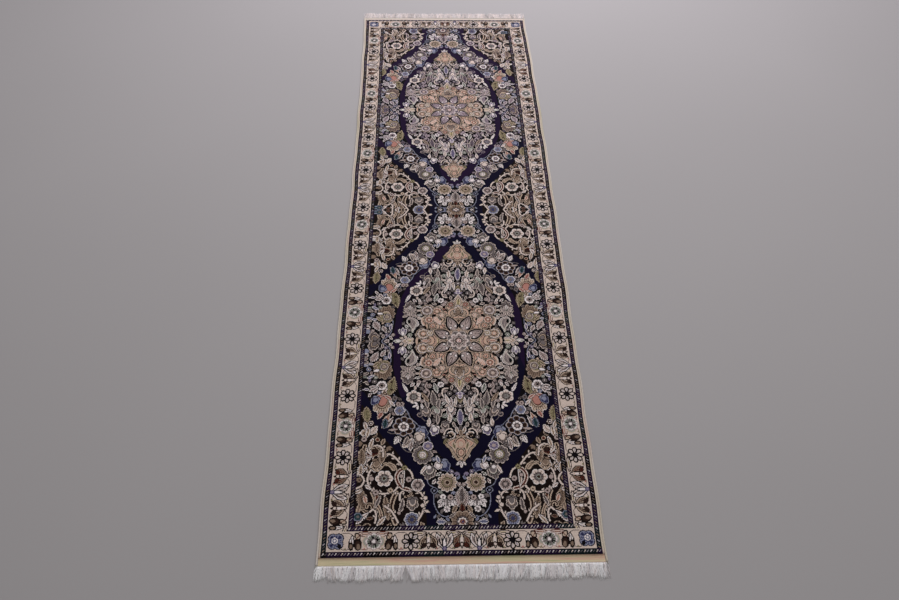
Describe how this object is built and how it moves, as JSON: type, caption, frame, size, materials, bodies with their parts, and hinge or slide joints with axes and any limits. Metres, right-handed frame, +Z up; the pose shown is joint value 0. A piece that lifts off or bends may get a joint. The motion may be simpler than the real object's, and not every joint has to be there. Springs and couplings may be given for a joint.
{
  "type": "runner rug",
  "caption": "Long narrow pile runner rug with bordered floral medallion field, flat-woven ends, overcast sides and short cotton fringes; lies flat on a floor as a covering.",
  "frame": {"origin": "on the floor plane under the middle of the rug", "axes": "+Y along the rug's length from the near fringe to the far fringe, +X across its width to the right, +Z up out of the pile"},
  "size_m": [0.82, 2.8904, 0.0083],
  "materials": {
    "cotton_ground": "undyed cotton, matt plain weave",
    "cotton_white": "undyed white cotton, loosely spun, matt",
    "flatweave_cotton": "peach and cream cotton, matt flat weave",
    "selvedge_wool": "cream wool, matt, wound side by side",
    "navy_wool": "cut pile in near-black navy with ivory, tan, rose, blue and olive flowers, soft sheen",
    "guard_wool": "cut pile in near-black with light diagonal dashes, soft sheen",
    "ivory_wool": "cut pile in ivory with small flowers, soft sheen"
  },
  "bodies": {
    "root": {"edge_pile_left": "ivory_wool", "edge_pile_right": "ivory_wool", "field_pile": "navy_wool", "flatweave_far": "flatweave_cotton", "flatweave_near": "flatweave_cotton", "foundation_weave": "cotton_ground", "fringe_far": "cotton_white", "fringe_near": "cotton_white", "inner_guard_far": "guard_wool", "inner_guard_left": "guard_wool", "inner_guard_near": "guard_wool", "inner_guard_right": "guard_wool", "main_border_far": "ivory_wool", "main_border_left": "ivory_wool", "main_border_near": "ivory_wool", "main_border_right": "ivory_wool", "outer_guard_far": "guard_wool", "outer_guard_left": "guard_wool", "outer_guard_near": "guard_wool", "outer_guard_right": "guard_wool", "selvedge_core_left": "cotton_ground", "selvedge_core_right": "cotton_ground", "selvedge_wrap_left": "selvedge_wool", "selvedge_wrap_right": "selvedge_wool", "twined_row_far": "cotton_white", "twined_row_near": "cotton_white"}
  },
  "joints": []
}
